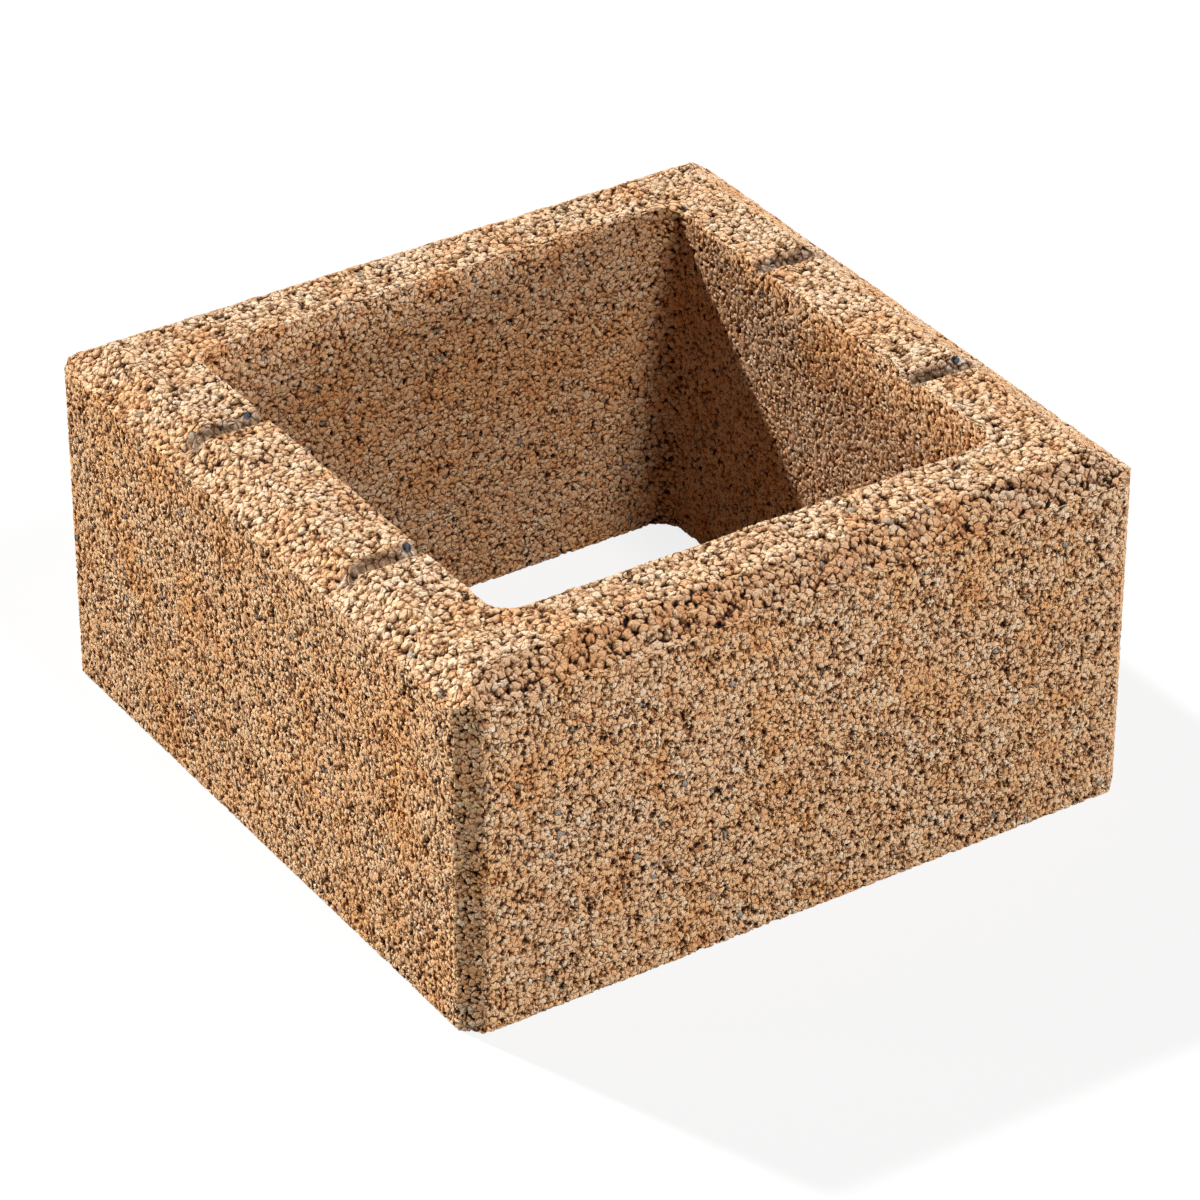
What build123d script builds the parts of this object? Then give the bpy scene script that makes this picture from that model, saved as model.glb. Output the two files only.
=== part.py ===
from build123d import *
import os

# Hollow planting and walling block, pressed in one piece from open-pored concrete.
# Millimetres, +Z up. The origin is the centre of the block's foot, on the floor.
# The front wall is the one at -Y, and the left and right walls carry the break grooves.

# Outer size of the block
block_width = 400.0
block_depth = 400.0
block_height = 200.0

# Slope along the top outer edge, measured inwards and downwards
top_slope_run = 20.0
top_slope_drop = 13.0

# Flat that takes off each upright outer corner, measured along both faces
corner_flat = 11.0

# Core that runs from top to bottom and makes the four walls
wall_thickness = 53.0
core_corner_radius = 14.0

# Break grooves across the tops of the left and right walls
groove_width = 13.0
groove_depth = 6.0
left_groove_front = -75.0
left_groove_back = 75.0
right_groove_front = -75.0
right_groove_back = 64.0

# How far a cutting shape reaches past the surface it cuts
overshoot = 2.0


def pressed_blank():
    """The solid block before its core: square foot, sloped top edge, flattened corners."""
    foot = Align.CENTER, Align.CENTER, Align.MIN
    shoulder_height = block_height - top_slope_drop
    lower = Box(block_width, block_depth, shoulder_height, align=foot)
    # The sloped rim is a low frustum between the shoulder's outline and the top's outline.
    shoulder = Plane.XY.offset(shoulder_height) * Rectangle(block_width, block_depth)
    top = Plane.XY.offset(block_height) * Rectangle(
        block_width - 2 * top_slope_run, block_depth - 2 * top_slope_run
    )
    blank = lower + loft([shoulder, top])
    # The upright corners are cut by the mould, so their flats run up into the slope's mitres.
    mould = Rectangle(block_width, block_depth)
    mould = chamfer(mould.vertices(), corner_flat)
    return blank & extrude(mould, block_height)


def core():
    """The through hole, with straight sides and rounded upright corners."""
    outline = RectangleRounded(
        block_width - 2 * wall_thickness,
        block_depth - 2 * wall_thickness,
        core_corner_radius,
    )
    return Pos(0, 0, -overshoot) * extrude(outline, block_height + 2 * overshoot)


def groove(side, place):
    """One V-shaped groove over the whole top of a side wall; side is -1 for left, +1 for right."""
    # The V keeps its slope above the wall's top, so that the cut is clean at the surface.
    half_width = groove_width / 2
    widening = half_width * overshoot / groove_depth
    floor_z = block_height - groove_depth
    mouth_z = block_height + overshoot
    profile = Plane.YZ * Polygon(
        (place - half_width - widening, mouth_z),
        (place, floor_z),
        (place + half_width + widening, mouth_z),
        align=None,
    )
    inner_x = block_width / 2 - wall_thickness - overshoot
    length = wall_thickness + 2 * overshoot
    bar = extrude(profile, length, dir=(side, 0, 0))
    return Pos(side * inner_x, 0, 0) * bar


grooves = [
    groove(-1, left_groove_front),
    groove(-1, left_groove_back),
    groove(1, right_groove_front),
    groove(1, right_groove_back),
]
hollow_block = pressed_blank() - core() - grooves

os.makedirs("parts", exist_ok=True)
export_step(hollow_block, "parts/hollow_block.step")
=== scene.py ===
# %% [markdown]
# A hollow block of open-pored concrete, dressed for a picture.
# The real block is one casting: grains of sandy stone, each with a thin coat of cement, are
# shaken and pressed in a steel mould until they touch. The gaps between them stay open.
# So the look is made of three things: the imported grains, the dark gaps, and the pale sandy coat.
# The exact shape comes from the frame, and nothing here moves or resizes it.

# %% The frame
import math

import bmesh
import bpy
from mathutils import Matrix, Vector


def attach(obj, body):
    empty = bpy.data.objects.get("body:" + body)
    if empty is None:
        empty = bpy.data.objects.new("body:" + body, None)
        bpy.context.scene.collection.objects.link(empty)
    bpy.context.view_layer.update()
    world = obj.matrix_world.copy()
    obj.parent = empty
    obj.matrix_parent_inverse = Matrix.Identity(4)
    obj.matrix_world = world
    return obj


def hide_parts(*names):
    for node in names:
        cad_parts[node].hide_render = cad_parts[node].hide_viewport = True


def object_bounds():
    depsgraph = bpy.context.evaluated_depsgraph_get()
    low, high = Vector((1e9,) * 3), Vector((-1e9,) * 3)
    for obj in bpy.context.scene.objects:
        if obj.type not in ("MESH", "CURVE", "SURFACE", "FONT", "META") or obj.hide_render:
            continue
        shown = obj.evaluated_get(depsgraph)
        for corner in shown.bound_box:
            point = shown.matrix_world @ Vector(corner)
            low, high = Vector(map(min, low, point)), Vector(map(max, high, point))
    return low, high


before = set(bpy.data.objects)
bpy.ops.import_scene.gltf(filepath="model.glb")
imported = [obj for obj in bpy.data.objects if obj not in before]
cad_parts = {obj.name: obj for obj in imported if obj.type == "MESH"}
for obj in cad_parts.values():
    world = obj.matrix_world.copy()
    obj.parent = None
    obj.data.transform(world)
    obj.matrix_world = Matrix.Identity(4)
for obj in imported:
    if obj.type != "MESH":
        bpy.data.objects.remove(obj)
cad_low, cad_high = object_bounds()
MM = 0.001
print("block size, mm:", [round(x / MM, 1) for x in cad_high - cad_low])

# %% [markdown]
# The camera first, because it decides how large a grain is in the picture.
# It stands nearly three metres away with a long lens, so that the far side of the block is only
# a little smaller than the near side. Its place is written as two angles and a distance from
# the point that it looks at, which is easier to correct than three coordinates.

# %% Camera
AIM = Vector((-1.4, -11.6, 83.6)) * MM
CAMERA_TURN = math.radians(33.12)
CAMERA_HEIGHT = math.radians(32.53)
CAMERA_DISTANCE = 2.871
SENSOR_WIDTH = 36.0
FOCAL_LENGTH = 167.1


def from_angles(turn, height):
    """Unit vector towards a place that is turned to the left of the front, and raised."""
    flat = math.cos(height)
    return Vector((-math.sin(turn) * flat, -math.cos(turn) * flat, math.sin(height)))


def look_from(thing, place, aim):
    """Puts a camera or a lamp at a place and points it at an aim."""
    thing.location = place
    thing.rotation_euler = (aim - place).to_track_quat("-Z", "Y").to_euler()
    bpy.context.scene.collection.objects.link(thing)
    return thing


lens = bpy.data.cameras.new("long_lens")
lens.sensor_width = SENSOR_WIDTH
lens.lens = FOCAL_LENGTH
camera = bpy.data.objects.new("camera", lens)
look_from(camera, AIM + from_angles(CAMERA_TURN, CAMERA_HEIGHT) * CAMERA_DISTANCE, AIM)
bpy.context.scene.camera = camera
print("camera stands at, m:", [round(x, 3) for x in camera.location])

# %% [markdown]
# Materials are node trees, and so are the rules that place the grains. One small function adds a
# node, sets it up and joins it to the nodes before it. Colours are picked in the way that a paint
# program shows them, as sRGB hex, and turned to the linear values that light is worked out with.


# %% Colours and nodes
def linear(hex_colour):
    """An sRGB hex colour as linear red, green, blue and a full alpha."""
    channels = [int(hex_colour[i : i + 2], 16) / 255 for i in (1, 3, 5)]
    return tuple(c / 12.92 if c <= 0.04045 else ((c + 0.055) / 1.055) ** 2.4 for c in channels) + (1.0,)


def add(tree, kind, inputs=None, stops=None, **settings):
    """Adds a node. An input is a plain value, another node, or one of that node's outputs.

    A new colour ramp has two stops, at its ends, so a list of stops gives those two first.
    """
    node = tree.nodes.new(kind)
    for name, value in settings.items():
        setattr(node, name, value)
    for name, value in (inputs or {}).items():
        if isinstance(value, bpy.types.Node):
            value = value.outputs[0]
        if isinstance(value, bpy.types.NodeSocket):
            tree.links.new(value, node.inputs[name])
        else:
            node.inputs[name].default_value = value
    for i, (place, colour) in enumerate(stops or []):
        elements = node.color_ramp.elements
        element = elements[i] if i < 2 else elements.new(place)
        element.position = place
        element.color = linear(colour)
    return node


def new_material(name):
    """A material with an empty node tree."""
    material = bpy.data.materials.new(name)
    material.use_nodes = True
    material.node_tree.nodes.clear()
    return material, material.node_tree


# %% [markdown]
# The relief. Grains of grit touch each other, and where none reaches the mould there is a pore.
# A Voronoi texture is just that: space divided among scattered centres. Its distance to a centre
# makes a dome for each grain, and every dome leans its own way, so that no two catch the light
# alike. Two layers of domes, one of smaller grains, show through each other's gaps.
# The mould's wall cuts the domes off at one level, which makes the pressed faces flat.
# Where the nearest and the second nearest centre are about as far, two grains meet, and a narrow
# joint is pressed in between them. A noise then opens deeper pores here and there.
# The same rule is built twice, in the tree that shapes the mesh and in the material, where it is
# sharper than the mesh can be. Both read the place that a point had before it was pressed in.

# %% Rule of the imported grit
WALL_GRAIN = 3.4 * MM
TOP_GRAIN = 4.4 * MM
SMALL_GRAIN_SHARE = 0.66
WANDER = 1.6 * MM
WANDER_WIDTH = 2.2 * MM
PORE_WIDTH = 3.2 * MM
PORE_OPENS = (0.58, 0.70)
DOME_FALL = -1.45
DOME_LEAN = 0.85
# Shares of a dome's height, on the pressed walls and then on the loose top: how deep a pore goes,
# where the mould cuts the domes off, and how much lower the smaller grains lie.
PORE_SHARE = (0.52, 0.27)
CUT_SHARE = (0.6, 0.84)
LOWER_SHARE = (0.26, 0.1)
# Millimetres of relief for one dome, in open grit and where the cement is smeared.
DOME_HEIGHT = (2.0, 1.4)


def add_grains(tree, place, share):
    """One layer of grains: a leaning dome over each, 1 at its middle, and its distance and colour."""
    cell = add(tree, "ShaderNodeTexVoronoi", {"Vector": place, "Scale": 1 / share})
    away = cell.outputs["Distance"]
    colour = cell.outputs["Color"]
    squared = add(tree, "ShaderNodeMath", {0: away, 1: away}, operation="MULTIPLY")
    dome = add(tree, "ShaderNodeMath", {0: squared, 1: DOME_FALL, 2: 1.0}, operation="MULTIPLY_ADD")
    offset = add(tree, "ShaderNodeVectorMath", {0: place, 1: cell.outputs["Position"]}, operation="SUBTRACT")
    lean = add(tree, "ShaderNodeVectorMath", {0: colour, 1: (0.5, 0.5, 0.5)}, operation="SUBTRACT")
    rise = add(tree, "ShaderNodeVectorMath", {0: offset, 1: lean}, operation="DOT_PRODUCT").outputs["Value"]
    dome = add(tree, "ShaderNodeMath", {0: rise, 1: DOME_LEAN / share, 2: dome}, operation="MULTIPLY_ADD")
    return dome, away, colour


def packed_grit(tree, place, loose, smeared, joint_width, joint_depth):
    """Millimetres below the mould, as a negative height, and three things that colour the grains.

    They are the gap to the next grain, the noise that opens the pores, and each grain's own colour.
    """
    wander = {"Vector": place, "Scale": 1 / WANDER_WIDTH, "Detail": 0.0}
    wander = add(tree, "ShaderNodeTexNoise", wander).outputs["Color"]
    drift = {0: wander, 1: (WANDER, WANDER, WANDER), 2: place}
    drift = add(tree, "ShaderNodeVectorMath", drift, operation="MULTIPLY_ADD")
    rate = add(tree, "ShaderNodeMix", {0: loose, 2: 1 / WALL_GRAIN, 3: 1 / TOP_GRAIN})
    counted = add(tree, "ShaderNodeVectorMath", {0: drift, "Scale": rate}, operation="SCALE").outputs[0]
    large, nearest, colour = add_grains(tree, counted, 1.0)
    small = add_grains(tree, counted, SMALL_GRAIN_SHARE)[0]
    second = add(tree, "ShaderNodeTexVoronoi", {"Vector": counted, "Scale": 1.0}, feature="F2")
    gap = add(tree, "ShaderNodeMath", {0: second, 1: nearest}, operation="SUBTRACT")
    joint = {"Value": gap, "From Max": joint_width, "To Min": joint_depth, "To Max": 0.0}
    joint = add(tree, "ShaderNodeMapRange", joint)
    holes = add(tree, "ShaderNodeTexNoise", {"Vector": place, "Scale": 1 / PORE_WIDTH, "Detail": 1.0})
    pore_depth = add(tree, "ShaderNodeMix", {0: loose, 2: PORE_SHARE[0], 3: PORE_SHARE[1]})
    pore = {"Value": holes, "From Min": PORE_OPENS[0], "From Max": PORE_OPENS[1], "To Max": pore_depth}
    pore = add(tree, "ShaderNodeMapRange", pore, interpolation_type="SMOOTHSTEP")
    cut = add(tree, "ShaderNodeMix", {0: loose, 2: CUT_SHARE[0], 3: CUT_SHARE[1]})
    lower = add(tree, "ShaderNodeMix", {0: loose, 2: LOWER_SHARE[0], 3: LOWER_SHARE[1]})
    top = add(tree, "ShaderNodeMath", {0: large, 1: cut}, operation="MINIMUM")
    top = add(tree, "ShaderNodeMath", {0: top, 1: joint}, operation="SUBTRACT")
    under = add(tree, "ShaderNodeMath", {0: small, 1: lower}, operation="SUBTRACT")
    packed = add(tree, "ShaderNodeMath", {0: top, 1: under}, operation="MAXIMUM")
    packed = add(tree, "ShaderNodeMath", {0: packed, 1: pore}, operation="SUBTRACT")
    packed = add(tree, "ShaderNodeMath", {0: packed, 1: cut}, operation="SUBTRACT")
    packed = add(tree, "ShaderNodeMath", {0: packed, 1: 0.0}, operation="MINIMUM")
    depth = add(tree, "ShaderNodeMix", {0: smeared, 2: DOME_HEIGHT[0], 3: DOME_HEIGHT[1]})
    height = add(tree, "ShaderNodeMath", {0: packed, 1: depth}, operation="MULTIPLY")
    return height, gap, holes, colour


print("grains, mm: walls", round(WALL_GRAIN / MM, 1), "top", round(TOP_GRAIN / MM, 1))

# %% [markdown]
# The colour of the mix. Each grain takes its tone from its own Voronoi colour: mostly sand, some
# orange, and now and then a grey one. Clouds of warmer and paler mix lie over them, some
# centimetres wide. The level top is paler with dust and a painted highlight, more in the paler
# clouds, and the slopes carry a thin grey stain and painted shade, most of it at the front and the back.

# %% Colour of the mix
MULTIPLIED = {"data_type": "RGBA", "blend_type": "MULTIPLY"}
BLENDED = {"data_type": "RGBA"}
CLOUD_WIDTH = 40 * MM
GREY_SHARE = 0.006
# Dust and a painted highlight on the level top, then a grey stain and painted shade on the slopes.
DUST_AND_HIGHLIGHT = "#FFEDD3"
DUSTY_AND_LIT_CLOUDS = (0.4, 0.6)
DUST_AND_HIGHLIGHT_SHARE = (0.12, 0.36)
STAIN_AND_SHADE = "#EAE9EC"


def colour_of_mix(tree, tone, clouds, marks):
    """Sandy grains in clouds of mix, with dust and a painted highlight on the level top, and a grey stain
    with painted shade on the slopes.
    """
    sandy = [(0.0, "#A09A94"), (1.0, "#F8E2C6"), (GREY_SHARE, "#A09A94"), (0.01, "#E4B183")]
    sandy += [(0.14, "#EABB8F"), (0.35, "#F0C59A"), (0.62, "#F4CDA3"), (0.85, "#F3D3B2")]
    own = add(tree, "ShaderNodeValToRGB", {"Fac": tone}, stops=sandy)
    warm = [(0.36, "#FDE9CC"), (0.64, "#FFFFFF"), (0.5, "#FFF9F0")]
    warmth = add(tree, "ShaderNodeValToRGB", {"Fac": clouds}, stops=warm)
    skin = add(tree, "ShaderNodeMix", {0: 1.0, 6: own, 7: warmth}, **MULTIPLIED).outputs[2]
    level = add(tree, "ShaderNodeMath", {0: marks["loose"], 1: marks["slope"]}, operation="SUBTRACT")
    bleached_and_lit = {"Value": clouds, "From Min": DUSTY_AND_LIT_CLOUDS[0], "From Max": DUSTY_AND_LIT_CLOUDS[1]}
    bleached_and_lit |= {"To Min": DUST_AND_HIGHLIGHT_SHARE[0], "To Max": DUST_AND_HIGHLIGHT_SHARE[1]}
    bleached_and_lit = add(tree, "ShaderNodeMapRange", bleached_and_lit)
    dust_and_highlight = add(tree, "ShaderNodeMath", {0: level, 1: bleached_and_lit}, operation="MULTIPLY")
    # Dust and a painted highlight: the level top is made paler, more in the paler clouds.
    skin = add(tree, "ShaderNodeMix", {0: dust_and_highlight, 6: skin, 7: linear(DUST_AND_HIGHLIGHT)}, **BLENDED).outputs[2]
    # A grey stain and painted shade: the slopes are darkened, the front and back ones most.
    return add(tree, "ShaderNodeMix", {0: marks["slope"], 6: skin, 7: linear(STAIN_AND_SHADE)}, **MULTIPLIED).outputs[2]


# %% [markdown]
# The wear in the grooves. Whatever presses a groove into the wet mix smears the cement, so it is
# greyer and browner there, in streaks some millimetres wide, and painted shade darkens the streaks
# further. A dark chip of slate lies bare in each of the four, and it is small enough to be coloured
# by its distance from one spot.

# %% Wear and painted shade in the grooves
CHIPS = [(-151.5, -70.5, 198.0), (-153.5, 79.8, 198.5), (182.0, 69.0, 198.5), (178.0, -70.0, 198.5)]
CHIP_RADIUS = 2.4 * MM
CHIP = "#565B66"
# The streaks of wear and painted shade in the grooves.
STREAK_WIDTH = 7 * MM
WORN_AND_SHADED_CLOUDS = (0.3, 0.45)
LEAST_WORN_AND_SHADED = 0.7


def groove_wear_and_shade(tree, place, clouds, groove, skin):
    """Smears of cement with painted shade along the grooves, and a chip of slate in each."""
    streaks = {"Vector": place, "Scale": 1 / STREAK_WIDTH, "Detail": 3.0, "Roughness": 0.6, "Distortion": 1.0}
    streaks = add(tree, "ShaderNodeTexNoise", streaks)
    browns = [(0.36, "#745B44"), (0.66, "#E0D5CC"), (0.46, "#A08368"), (0.55, "#C2A58A")]
    smear_and_shade = add(tree, "ShaderNodeValToRGB", {"Fac": streaks}, stops=browns)
    worn_and_shaded = {"Value": clouds, "From Min": WORN_AND_SHADED_CLOUDS[0], "From Max": WORN_AND_SHADED_CLOUDS[1], "To Min": LEAST_WORN_AND_SHADED}
    worn_and_shaded = add(tree, "ShaderNodeMapRange", worn_and_shaded)
    worn_and_shaded = add(tree, "ShaderNodeMath", {0: worn_and_shaded, 1: groove}, operation="MULTIPLY")
    # Wear and painted shade: grey-brown streaks darken the grooves.
    skin = add(tree, "ShaderNodeMix", {0: worn_and_shaded, 6: skin, 7: smear_and_shade}, **BLENDED).outputs[2]
    for chip in CHIPS:
        centre = [x * MM for x in chip]
        away = add(tree, "ShaderNodeVectorMath", {0: place, 1: centre}, operation="DISTANCE")
        stone = {0: away.outputs["Value"], 1: CHIP_RADIUS}
        stone = add(tree, "ShaderNodeMath", stone, operation="LESS_THAN")
        skin = add(tree, "ShaderNodeMix", {0: stone, 6: skin, 7: linear(CHIP)}, **BLENDED).outputs[2]
    return skin


print("chips of slate:", len(CHIPS))

# %% [markdown]
# The finish is a film of sandy cement over crushed stone: fully matt, so there is no gloss to set
# but a high roughness. The deeper a point lies, the browner it is, as painted shade, because little
# light reaches it. Thin dark lines of painted shade part the grains, and they are widest where the
# mix is open. Specks of fine sand, under a millimetre wide, break up the colour and the bump.

# %% Finish: open-pored sandy concrete
SPECK_WIDTH = 0.8 * MM
SPECK_HEIGHT = 0.5
SHADER_JOINT = (0.13, 0.6)
SHADED_DEPTHS = (-1.6, -0.3)
# The colour of the painted shade in the joints between grains.
JOINT_SHADE = "#B29C84"
LINE_MIDDLE = 0.02
LINE_WIDENS = (0.4, 0.56)
LINE_WIDTHS = (0.06, 0.17)
MATT = 0.92


def open_pored_concrete():
    """Matt, sandy, cement-coated grit."""
    material, tree = new_material("open_pored_sandy_concrete")
    place = add(tree, "ShaderNodeAttribute", attribute_name="moulded_place").outputs["Vector"]
    marks = {}
    for name in ("loose", "slope", "groove"):
        marks[name] = add(tree, "ShaderNodeAttribute", attribute_name=name).outputs["Fac"]
    # All or nothing, because grains counted at a rate between the two would be drawn out long.
    loose = add(tree, "ShaderNodeMath", {0: marks["loose"], 1: 0.5}, operation="GREATER_THAN")
    height, gap, holes, colour = packed_grit(tree, place, loose, marks["groove"], *SHADER_JOINT)
    tone = add(tree, "ShaderNodeSeparateXYZ", {0: colour})
    clouds = {"Vector": place, "Scale": 1 / CLOUD_WIDTH, "Detail": 3.0, "Roughness": 0.6}
    clouds = add(tree, "ShaderNodeTexNoise", clouds)
    skin = colour_of_mix(tree, tone, clouds, marks)
    skin = groove_wear_and_shade(tree, place, clouds, marks["groove"], skin)
    # Painted shade: the deeper a point lies, the browner its colour.
    shade = {"Value": height, "From Min": SHADED_DEPTHS[0], "From Max": SHADED_DEPTHS[1]}
    shade = add(tree, "ShaderNodeMapRange", shade)
    browns = [(0.0, "#3C2814"), (1.0, "#FFFFFF"), (0.35, "#AF916B"), (0.7, "#F2E5CF")]
    cavity = add(tree, "ShaderNodeValToRGB", {"Fac": shade}, stops=browns)
    skin = add(tree, "ShaderNodeMix", {0: 1.0, 6: skin, 7: cavity}, **MULTIPLIED).outputs[2]
    specks = add(tree, "ShaderNodeTexNoise", {"Vector": place, "Scale": 1 / SPECK_WIDTH, "Detail": 1.0})
    sand = add(tree, "ShaderNodeValToRGB", {"Fac": specks}, stops=[(0.32, "#D2C3B6"), (0.52, "#FFFFFF")])
    skin = add(tree, "ShaderNodeMix", {0: 1.0, 6: skin, 7: sand}, **MULTIPLIED).outputs[2]
    # Painted shade in the joints: thin dark lines between the grains, wider where the mix is open.
    widen = {"Value": holes, "From Min": LINE_WIDENS[0], "From Max": LINE_WIDENS[1]}
    widen |= {"To Min": LINE_WIDTHS[0], "To Max": LINE_WIDTHS[1]}
    widen = add(tree, "ShaderNodeMapRange", widen)
    shaded_joint = {"Value": gap, "From Min": LINE_MIDDLE, "From Max": widen, "To Min": 1.0, "To Max": 0.0}
    shaded_joint = add(tree, "ShaderNodeMapRange", shaded_joint, interpolation_type="SMOOTHSTEP")
    skin = add(tree, "ShaderNodeMix", {0: shaded_joint, 6: skin, 7: linear(JOINT_SHADE)}, **MULTIPLIED).outputs[2]
    sandy = add(tree, "ShaderNodeMath", {0: specks, 1: SPECK_HEIGHT, 2: height}, operation="MULTIPLY_ADD")
    relief = add(tree, "ShaderNodeBump", {"Height": sandy, "Strength": 1.0, "Distance": MM})
    surface = {"Base Color": skin, "Roughness": MATT, "Normal": relief}
    surface = add(tree, "ShaderNodeBsdfPrincipled", surface)
    add(tree, "ShaderNodeOutputMaterial", {"Surface": surface})
    return material


concrete = open_pored_concrete()
print("nodes in the finish:", len(concrete.node_tree.nodes))

# %% [markdown]
# Marks on the block. The mesh has to say where the mix lay loose, on the top and the slopes,
# where it slopes, and where a groove runs. Each mark is a number from 0 to 1 at every point,
# worked out from the way that the surface faces and from its place, before anything is pressed.
# The finish reads the same marks, so colour and relief agree.

# %% Marks on the block
HALF_WIDTH = cad_high.x
TOP = cad_high.z
WALL = 53 * MM
SLOPE_DROP = 13 * MM
GROOVE_OFF_MIDDLE = 75 * MM
RIGHT_BACK_NEARER_BY = 11 * MM
# The upward part of the way that a surface faces: where no steel pressed it, and where it is level.
LOOSE_FROM = 0.375
LEVEL_BETWEEN = (0.88, 0.96)
# The lengthways part, and the share of the stain and painted shade that the slopes on the left and right
# carry.
STAINED_AND_SHADED_BETWEEN = (0.1, 0.45)
SIDE_STAIN_AND_SHADE = 0.25
# A groove's mark fades this far from its middle line, and this far in from the block's side.
MARK_FADES = (3.5 * MM, 7.5 * MM)
MARK_ENDS = (12 * MM, 4 * MM)


def loose_and_slope(tree, way):
    """Where no steel pressed the mix, and where that is a slope with a stain and painted shade."""
    loose = add(tree, "ShaderNodeMath", {0: way["Z"], 1: LOOSE_FROM}, operation="GREATER_THAN")
    level = {"Value": way["Z"], "From Min": LEVEL_BETWEEN[0], "From Max": LEVEL_BETWEEN[1]}
    level = add(tree, "ShaderNodeMapRange", level)
    slope = add(tree, "ShaderNodeMath", {0: loose, 1: level}, operation="SUBTRACT")
    slope = add(tree, "ShaderNodeMath", {0: slope, 1: 0.0}, operation="MAXIMUM")
    lengthways = add(tree, "ShaderNodeMath", {0: way["Y"]}, operation="ABSOLUTE")
    # Painted shade with the stain: full on the front and back slopes, a share on the left and right.
    stained_and_shaded = {"Value": lengthways, "From Min": STAINED_AND_SHADED_BETWEEN[0], "From Max": STAINED_AND_SHADED_BETWEEN[1]}
    stained_and_shaded = add(tree, "ShaderNodeMapRange", stained_and_shaded | {"To Min": SIDE_STAIN_AND_SHADE, "To Max": 1.0})
    return loose, add(tree, "ShaderNodeMath", {0: slope, 1: stained_and_shaded}, operation="MULTIPLY")


def groove_mark(tree, place, spot, loose):
    """1 along the middle of each groove, fading beside it and down the slope."""
    signed = add(tree, "ShaderNodeSeparateXYZ", {0: place}).outputs
    right = add(tree, "ShaderNodeMath", {0: signed["X"], 1: 0.0}, operation="GREATER_THAN")
    back = add(tree, "ShaderNodeMath", {0: signed["Y"], 1: 0.0}, operation="GREATER_THAN")
    nearer = add(tree, "ShaderNodeMath", {0: right, 1: back}, operation="MULTIPLY")
    middle = {0: nearer, 1: -RIGHT_BACK_NEARER_BY, 2: GROOVE_OFF_MIDDLE}
    middle = add(tree, "ShaderNodeMath", middle, operation="MULTIPLY_ADD")
    off = add(tree, "ShaderNodeMath", {0: spot["Y"], 1: middle}, operation="SUBTRACT")
    off = add(tree, "ShaderNodeMath", {0: off}, operation="ABSOLUTE")
    beside = {"Value": off, "From Min": MARK_FADES[0], "From Max": MARK_FADES[1]}
    groove = add(tree, "ShaderNodeMapRange", beside | {"To Min": 1.0, "To Max": 0.0})
    groove = add(tree, "ShaderNodeMath", {0: groove, 1: loose}, operation="MULTIPLY")
    start, end = [HALF_WIDTH - inwards for inwards in MARK_ENDS]
    run = {"Value": spot["X"], "From Min": start, "From Max": end, "To Min": 1.0, "To Max": 0.0}
    run = add(tree, "ShaderNodeMapRange", run)
    return add(tree, "ShaderNodeMath", {0: groove, 1: run}, operation="MULTIPLY")


print("walls, mm:", round(WALL / MM, 1), "grooves off the middle, mm:", round(GROOVE_OFF_MIDDLE / MM, 1))

# %% [markdown]
# The relief besides the grit. At the core's top edge and at the foot of the slope the mould holds
# the grains in line, so the relief is held back a little there. The loose mix has settled in slow
# waves. The grooves run out down the slope, further than a straight cut at one level would go.

# %% Relief besides the grit
SETTLING_WIDTH = 16 * MM
SETTLING_BETWEEN = (0.35, 0.7)
SETTLING_DEPTH = 1.3
RUNOUT_BETWEEN = (17 * MM, 11 * MM)
RUNOUT_DEPTH = 2.4
CALM_BETWEEN = (1 * MM, 4 * MM)
CALM_SHARE = 0.65
CALM_EDGES = [(HALF_WIDTH - WALL, 0.0, TOP), (HALF_WIDTH, 0.0, TOP - SLOPE_DROP)]


def calm_near_edges(tree, spot):
    """The length of one millimetre of relief, in metres: the full one away from the edges."""
    widest = add(tree, "ShaderNodeMath", {0: spot["X"], 1: spot["Y"]}, operation="MAXIMUM")
    here = add(tree, "ShaderNodeCombineXYZ", {"X": widest, "Z": spot["Z"]})
    calm = MM
    for edge in CALM_EDGES:
        away = add(tree, "ShaderNodeVectorMath", {0: here, 1: edge}, operation="DISTANCE").outputs["Value"]
        near = {"Value": away, "From Min": CALM_BETWEEN[0], "From Max": CALM_BETWEEN[1]}
        near = add(tree, "ShaderNodeMapRange", near | {"To Min": CALM_SHARE * MM, "To Max": MM})
        calm = add(tree, "ShaderNodeMath", {0: calm, 1: near}, operation="MINIMUM")
    return calm


def settle_and_run_out(tree, place, spot, loose, groove, height):
    """The height with the slow waves of the loose mix, and with the grooves' outer ends."""
    settling = add(tree, "ShaderNodeTexNoise", {"Vector": place, "Scale": 1 / SETTLING_WIDTH, "Detail": 1.0})
    settled = {"Value": settling, "From Min": SETTLING_BETWEEN[0], "From Max": SETTLING_BETWEEN[1]}
    settled = add(tree, "ShaderNodeMapRange", settled | {"To Min": 0.0, "To Max": -SETTLING_DEPTH})
    height = add(tree, "ShaderNodeMath", {0: settled, 1: loose, 2: height}, operation="MULTIPLY_ADD")
    start, full = [HALF_WIDTH - inwards for inwards in RUNOUT_BETWEEN]
    runout = {"Value": spot["X"], "From Min": start, "From Max": full, "To Min": 0.0, "To Max": -RUNOUT_DEPTH}
    runout = add(tree, "ShaderNodeMapRange", runout)
    return add(tree, "ShaderNodeMath", {0: runout, 1: groove, 2: height}, operation="MULTIPLY_ADD")


print("calm edges, mm:", [[round(x / MM, 1) for x in edge] for edge in CALM_EDGES])

# %% [markdown]
# The press itself is a geometry tree. It stores each point's place and its three marks, because
# the finish reads them, and then sinks the point along its normal by the height of the relief.
# The joints are wider and shallower here than in the finish, as fine ones would fall between the
# points of the mesh.

# %% Tree that presses the relief
MESH_JOINT = (0.24, 0.3)


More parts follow.
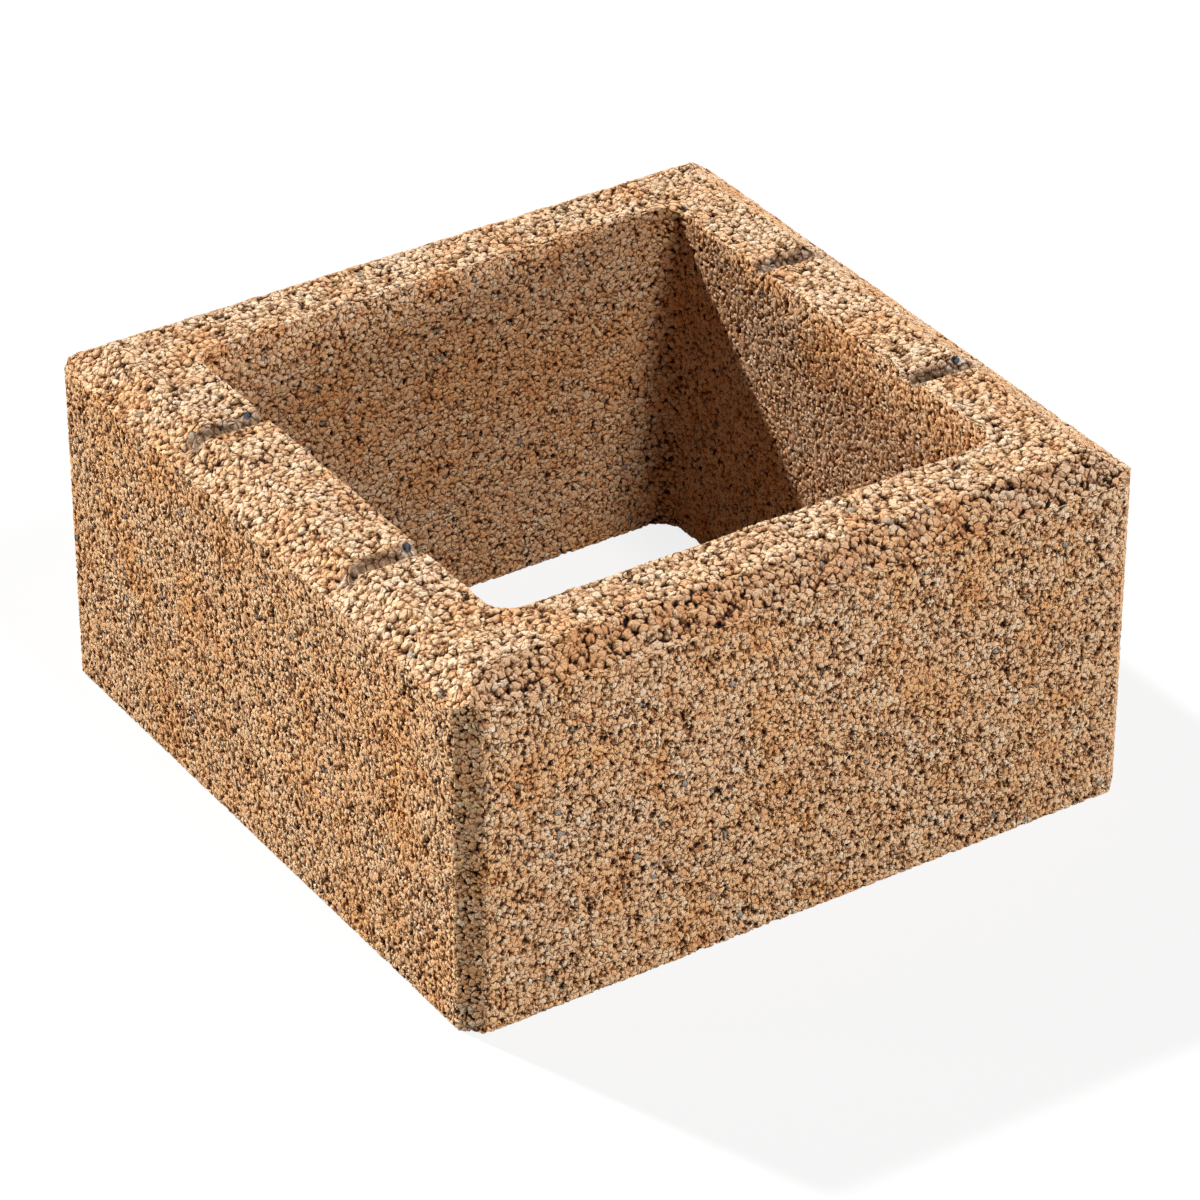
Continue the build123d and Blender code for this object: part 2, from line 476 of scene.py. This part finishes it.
def pressing_rule():
    """A geometry tree that sinks a surface by the height of the grit."""
    tree = bpy.data.node_groups.new("pressed_grit", "GeometryNodeTree")
    sockets = tree.interface
    sockets.new_socket("Mould", in_out="INPUT", socket_type="NodeSocketGeometry")
    sockets.new_socket("Deepest", in_out="INPUT", socket_type="NodeSocketFloat")
    sockets.new_socket("Finish", in_out="INPUT", socket_type="NodeSocketMaterial")
    sockets.new_socket("Block", in_out="OUTPUT", socket_type="NodeSocketGeometry")
    given = add(tree, "NodeGroupInput").outputs
    place = add(tree, "GeometryNodeInputPosition")
    normal = add(tree, "GeometryNodeInputNormal")
    way = add(tree, "ShaderNodeSeparateXYZ", {0: normal}).outputs
    spot = add(tree, "ShaderNodeVectorMath", {0: place}, operation="ABSOLUTE")
    spot = add(tree, "ShaderNodeSeparateXYZ", {0: spot}).outputs
    loose, slope = loose_and_slope(tree, way)
    groove = groove_mark(tree, place, spot, loose)
    mesh = given["Mould"]
    marks = [("moulded_place", place, "FLOAT_VECTOR")]
    marks += [("loose", loose, "FLOAT"), ("slope", slope, "FLOAT"), ("groove", groove, "FLOAT")]
    for name, value, kind in marks:
        stored = {"Geometry": mesh, "Name": name, "Value": value}
        mesh = add(tree, "GeometryNodeStoreNamedAttribute", stored, data_type=kind, domain="POINT")
    height = packed_grit(tree, place, loose, groove, *MESH_JOINT)[0]
    deepest = add(tree, "ShaderNodeMath", {0: given["Deepest"], 1: -1.0}, operation="MULTIPLY")
    height = add(tree, "ShaderNodeMath", {0: height, 1: deepest}, operation="MAXIMUM")
    height = settle_and_run_out(tree, place, spot, loose, groove, height)
    step = add(tree, "ShaderNodeMath", {0: height, 1: calm_near_edges(tree, spot)}, operation="MULTIPLY")
    sink = add(tree, "ShaderNodeVectorMath", {0: normal, "Scale": step}, operation="SCALE")
    pressed = add(tree, "GeometryNodeSetPosition", {"Geometry": mesh, "Offset": sink})
    real = add(tree, "GeometryNodeRealizeInstances", {"Geometry": pressed})
    done = add(tree, "GeometryNodeSetMaterial", {"Geometry": real, "Material": given["Finish"]})
    add(tree, "NodeGroupOutput", {"Block": done})
    return tree


# %% [markdown]
# Now the block goes through the press. The CAD mesh is loose triangles, so a copy is welded. It is
# the inside of the mould. A remesh covers it with even cells a little over a millimetre wide, fine
# enough for a grain, and coarse enough to keep the block under a million triangles. The tree then
# sinks every corner of a cell, and the result is kept as a plain mesh.

# %% Press the block
WELD = 0.01 * MM
CELL = 1.2 * MM
DEEPEST = 2.4

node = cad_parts["hollow_block"]
shell = bmesh.new()
shell.from_mesh(node.data)
bmesh.ops.remove_doubles(shell, verts=shell.verts, dist=WELD)
mould_mesh = bpy.data.meshes.new("mould")
shell.to_mesh(mould_mesh)
shell.free()
mould = bpy.data.objects.new("mould", mould_mesh)
bpy.context.scene.collection.objects.link(mould)
cells = mould.modifiers.new("even cells", "REMESH")
cells.mode = "VOXEL"
cells.voxel_size = CELL
press = mould.modifiers.new("pressed grit", "NODES")
press.node_group = pressing_rule()
values = {"Deepest": DEEPEST, "Finish": concrete}
for socket in press.node_group.interface.items_tree:
    if socket.in_out == "INPUT" and socket.name in values:
        press[socket.identifier] = values[socket.name]
whole = bpy.data.meshes.new_from_object(mould.evaluated_get(bpy.context.evaluated_depsgraph_get()))
mould.modifiers.clear()
bpy.data.objects.remove(mould)
print("triangles in the pressed block:", 2 * len(whole.polygons))

# %% [markdown]
# One mesh of a million triangles is hard to handle, so the block is sawn into six lengths of wall
# of about the same size. The saw cuts run across the walls, and each cut is closed with flat
# faces. Neighbours share the edge of a cut point for point, so nothing of it shows.

# %% Saw it into six lengths
SAW = 116 * MM


def length_of(centre):
    """The name of the length of wall that a spot belongs to."""
    side = "front" if centre.y < 0 else "back"
    if abs(centre.x) < SAW and abs(centre.y) > SAW:
        return f"{side}_middle"
    return f"{side}_left" if centre.x < 0 else f"{side}_right"


block = bmesh.new()
block.from_mesh(whole)
names = sorted({length_of(face.calc_center_median()) for face in block.faces})
for name in names:
    part = block.copy()
    others = [face for face in part.faces if length_of(face.calc_center_median()) != name]
    bmesh.ops.delete(part, geom=others, context="FACES")
    rim = [edge for edge in part.edges if edge.is_boundary]
    caps = bmesh.ops.holes_fill(part, edges=rim, sides=0)["faces"]
    bmesh.ops.triangulate(part, faces=caps)
    open_edges = sum(edge.is_boundary for edge in part.edges)
    mesh = bpy.data.meshes.new(f"wall_{name}")
    part.to_mesh(mesh)
    part.free()
    mesh.materials.append(concrete)
    piece = bpy.data.objects.new(f"wall_{name}", mesh)
    bpy.context.scene.collection.objects.link(piece)
    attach(piece, "root")
    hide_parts("hollow_block")
    mesh.calc_loop_triangles()
    print(piece.name, "triangles:", len(mesh.loop_triangles), "caps:", len(caps), "open edges:", open_edges)
block.free()
bpy.data.meshes.remove(whole)

# %% [markdown]
# Light. The key lamp stands behind the block on the left and high up. It makes the tops bright,
# rakes along the core's right wall and leaves a slanting shadow there. A soft lamp high in front
# reaches into the core. Two low ones light the two near walls and leave the corner between dark.
# The one on the left is a little warmer, because the left wall is.


# %% Lamps
def sun(name, towards, strength, size_degrees, tint=(1.0, 1.0, 1.0)):
    """A lamp so far away that its rays are parallel. Its size softens the shadow's edge."""
    data = bpy.data.lights.new(name, "SUN")
    data.energy = strength * math.pi
    data.color = tint
    data.angle = math.radians(size_degrees)
    return look_from(bpy.data.objects.new(name, data), Vector(towards).normalized() * 3, Vector((0, 0, 0)))


WARM = (1.0, 0.93, 0.79)
lamps = [
    sun("key", (-0.37, 1.0, 0.95), 1.32, 3.0),
    sun("high_front", (0.2, -1.0, 1.2), 0.52, 12.0),
    sun("low_right", (0.9, -0.7, 0.06), 0.85, 10.0),
    sun("low_left", (-1.0, 0.7, 0.06), 0.86, 10.0, WARM),
]
print("lamps:", [lamp.name for lamp in lamps])

# %% [markdown]
# The floor is white paper. To the camera it glows at plain white, and only a part of its colour
# takes light, so that it keeps a pale shadow of the block. It lies a tenth of a millimetre under
# the block's foot, because two faces in one plane would show as specks. The world glows white to
# the camera and gives the block almost no light.

# %% Floor and surroundings
REACH = 6.0
FLOOR = -0.1 * MM
GLOW_SHARE = 0.84
SKY_LIGHT = 0.03
WHITE = (1.0, 1.0, 1.0, 1.0)

world = bpy.data.worlds.new("studio")
bpy.context.scene.world = world
world.use_nodes = True
world.node_tree.nodes.clear()
ray = add(world.node_tree, "ShaderNodeLightPath").outputs["Is Camera Ray"]
glow = add(world.node_tree, "ShaderNodeMapRange", {"Value": ray, "To Min": SKY_LIGHT, "To Max": 1.0})
sky = add(world.node_tree, "ShaderNodeBackground", {"Color": WHITE, "Strength": glow})
add(world.node_tree, "ShaderNodeOutputWorld", {"Surface": sky})

floor_mesh = bpy.data.meshes.new("floor")
corners = [(-REACH, -REACH, FLOOR), (REACH, -REACH, FLOOR), (REACH, REACH, FLOOR), (-REACH, REACH, FLOOR)]
floor_mesh.from_pydata(corners, [], [(0, 1, 2, 3)])
floor = bpy.data.objects.new("floor", floor_mesh)
bpy.context.scene.collection.objects.link(floor)
paper, tree = new_material("white_paper")
ray = add(tree, "ShaderNodeLightPath").outputs["Is Camera Ray"]
lit = add(tree, "ShaderNodeBsdfDiffuse", {"Color": linear("#F4F4F4")})
glow = add(tree, "ShaderNodeEmission", {"Color": WHITE, "Strength": ray})
sheet = add(tree, "ShaderNodeMixShader", {0: GLOW_SHARE, 1: lit, 2: glow})
add(tree, "ShaderNodeOutputMaterial", {"Surface": sheet})
floor_mesh.materials.append(paper)
print("floor reaches, m:", REACH)

# %% [markdown]
# Colours are shown as they are worked out, with the Standard view, so that a sandy hex value
# stays sandy. Relief only sinks the surface, so the dressed block's box agrees with the bare
# one's but for rounding.

bpy.context.scene.view_settings.view_transform = "Standard"
